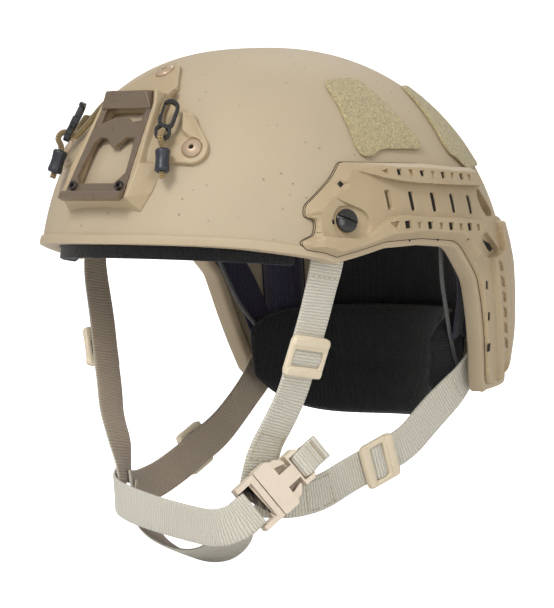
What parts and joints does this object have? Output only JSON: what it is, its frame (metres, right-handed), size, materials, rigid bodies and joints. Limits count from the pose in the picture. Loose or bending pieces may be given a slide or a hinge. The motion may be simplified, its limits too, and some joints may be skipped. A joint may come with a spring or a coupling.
{
  "type": "combat helmet",
  "caption": "High-cut combat helmet with side accessory rails, front shroud, loop patches, padded liner with fit dial, and a four-point chin strap with sliders and side-release buckle",
  "frame": {"origin": "middle of the head cavity, on the shell's widest level", "axes": "+X the wearer's left, -Y the brow, +Z the crown"},
  "size_m": [0.2296, 0.2778, 0.2723],
  "materials": {
    "shell_paint": "matt textured paint",
    "moulded_tan": "matt moulded nylon",
    "trim_rubber": "matt",
    "insert_metal": "brown anodised, satin",
    "screw_bronze": "satin coated",
    "screw_dark": "dark satin",
    "bolt_dark": "gloss",
    "nut_steel": "satin",
    "loop_pile": "short loop pile",
    "knit_black": "knitted",
    "cloth_navy": "woven",
    "dial_plastic": "matt",
    "lace_grey": "braided",
    "webbing": "woven webbing",
    "buckle_plastic": "satin moulded",
    "slider_plastic": "satin moulded",
    "hook_black": "semi gloss",
    "shock_cord": "braided",
    "sleeve_grey": "shrunk tube, satin"
  },
  "bodies": {
    "helmet": {"shell": "shell_paint", "edge_trim": "trim_rubber", "shroud_body": "moulded_tan", "shroud_insert": "insert_metal", "insert_screws": "screw_dark", "shroud_screws": "screw_bronze", "rail_left": "moulded_tan", "rail_right": "moulded_tan", "ear_bolts": "bolt_dark", "bolt_nuts": "nut_steel", "loop_side_left": "loop_pile", "loop_side_right": "loop_pile", "loop_rear_left": "loop_pile", "loop_rear_right": "loop_pile", "brow_pad": "knit_black", "crown_pad": "knit_black", "side_pad_left": "knit_black", "side_pad_right": "knit_black", "rear_pad_left": "cloth_navy", "rear_pad_right": "cloth_navy", "rear_pad_mid": "knit_black", "headband_left": "cloth_navy", "headband_right": "cloth_navy", "front_strap_left": "webbing", "front_strap_right": "webbing", "rear_strap_left": "webbing", "rear_strap_right": "webbing", "chin_band_front": "webbing", "chin_band_under": "webbing", "buckle_latch": "buckle_plastic", "snap_hook_left": "hook_black", "snap_hook_right": "hook_black", "shock_cord_left": "shock_cord", "shock_cord_right": "shock_cord", "cord_sleeve_left": "sleeve_grey", "cord_sleeve_right": "sleeve_grey"},
    "nape_unit": {"nape_pad": "knit_black", "nape_cradle": "dial_plastic", "dial_base": "dial_plastic", "lace_left": "lace_grey", "lace_right": "lace_grey"},
    "dial": {"dial_knob": "dial_plastic"},
    "buckle_half": {"buckle_socket": "buckle_plastic", "buckle_tab": "webbing"},
    "slider_fl": {"slider_front_left": "slider_plastic"},
    "slider_fr": {"slider_front_right": "slider_plastic"},
    "slider_rl": {"slider_rear_left": "slider_plastic"},
    "slider_rr": {"slider_rear_right": "slider_plastic"},
    "gate_l": {"hook_gate_left": "hook_black"},
    "gate_r": {"hook_gate_right": "hook_black"}
  },
  "joints": [
    {"name": "nape_slide", "type": "slide", "parent": "helmet", "child": "nape_unit", "axis": [0, -1, 0], "range_m": [0, 0.008]},
    {"name": "dial_turn", "type": "hinge", "parent": "nape_unit", "child": "dial", "pos_m": [0, 0.112, -0.058], "axis": [0, 1, 0], "range_deg": [0, 180]},
    {"name": "buckle_release", "type": "slide", "parent": "helmet", "child": "buckle_half", "axis": [0.2784, 0.7656, 0.58], "range_m": [0, 0.0176]},
    {"name": "slider_front_left_slide", "type": "slide", "parent": "helmet", "child": "slider_fl", "axis": [-0.2955, -0.1548, -0.9427], "range_m": [-0.008, 0.008]},
    {"name": "slider_front_right_slide", "type": "slide", "parent": "helmet", "child": "slider_fr", "axis": [0.2955, -0.1548, -0.9427], "range_m": [-0.008, 0.008]},
    {"name": "slider_rear_left_slide", "type": "slide", "parent": "helmet", "child": "slider_rl", "axis": [-0.182, -0.9241, -0.336], "range_m": [-0.008, 0.008]},
    {"name": "slider_rear_right_slide", "type": "slide", "parent": "helmet", "child": "slider_rr", "axis": [0.182, -0.9241, -0.336], "range_m": [-0.008, 0.008]},
    {"name": "hook_gate_left_turn", "type": "hinge", "parent": "helmet", "child": "gate_l", "pos_m": [0.0328, -0.1097, 0.09492], "axis": [0.7147, -0.5533, 0.428], "range_deg": [-28, 0], "stiffness_Nm_per_rad": 0.01, "springref_deg": 8.59},
    {"name": "hook_gate_right_turn", "type": "hinge", "parent": "helmet", "child": "gate_r", "pos_m": [-0.0328, -0.1097, 0.09492], "axis": [-0.7147, -0.5533, 0.428], "range_deg": [0, 28], "stiffness_Nm_per_rad": 0.01, "springref_deg": -8.59}
  ],
  "couplings": [
    {"joint": "dial_turn", "follows": "nape_slide", "rad_per_m": 392.7}
  ]
}
